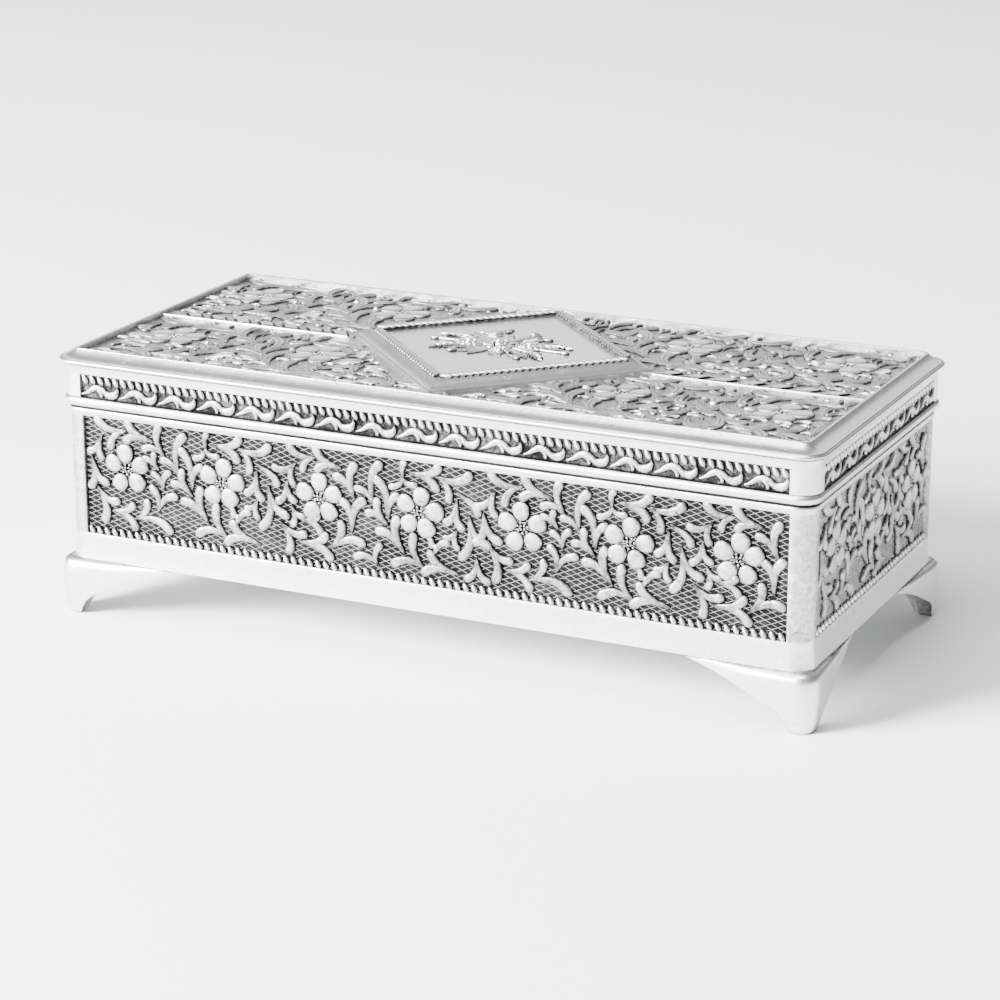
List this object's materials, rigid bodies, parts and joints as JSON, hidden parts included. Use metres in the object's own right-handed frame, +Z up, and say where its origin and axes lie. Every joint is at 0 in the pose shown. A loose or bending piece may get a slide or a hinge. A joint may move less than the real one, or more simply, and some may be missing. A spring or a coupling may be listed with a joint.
{
  "type": "rosary box",
  "caption": "Footed rectangular keepsake box in antique silver cast metal, with floral relief walls, bracket feet and a hinged lid that carries a diamond plaque.",
  "frame": {"origin": "on the table under the toes, below the middle of the whole box with its hinges", "axes": "+Z up, +X along the length to the right as seen from the front, -Y towards the front"},
  "size_m": [0.1744, 0.0854, 0.061],
  "materials": {
    "antique_silver": "silver plate over cast zinc alloy, satin on the raised work and darkened in the recesses",
    "base_sheet": "plain plated sheet",
    "hinge_steel": "plated steel, lightly brushed",
    "velvet": "short black velvet over card"
  },
  "bodies": {
    "case": {"front_wall": "antique_silver", "back_wall": "antique_silver", "left_wall": "antique_silver", "right_wall": "antique_silver", "floor_plate": "base_sheet", "foot_front_left": "antique_silver", "foot_front_right": "antique_silver", "foot_back_left": "antique_silver", "foot_back_right": "antique_silver", "floor_lining": "velvet", "front_lining": "velvet", "back_lining": "velvet", "left_lining": "velvet", "right_lining": "velvet", "hinge_left_body_leaf": "hinge_steel", "hinge_right_body_leaf": "hinge_steel", "hinge_left_pin": "hinge_steel", "hinge_right_pin": "hinge_steel", "body_hinge_rivets": "hinge_steel"},
    "lid": {"lid_front_rail": "antique_silver", "lid_back_rail": "antique_silver", "lid_left_rail": "antique_silver", "lid_right_rail": "antique_silver", "lid_top_plate": "antique_silver", "diamond_plaque": "antique_silver", "lid_lining": "velvet", "hinge_left_lid_leaf": "hinge_steel", "hinge_right_lid_leaf": "hinge_steel", "lid_hinge_rivets": "hinge_steel"}
  },
  "joints": [
    {"name": "lid_hinge", "type": "hinge", "parent": "case", "child": "lid", "pos_m": [0, 0.04086, 0.04675], "axis": [-1, 0, 0], "range_deg": [0, 100]}
  ]
}
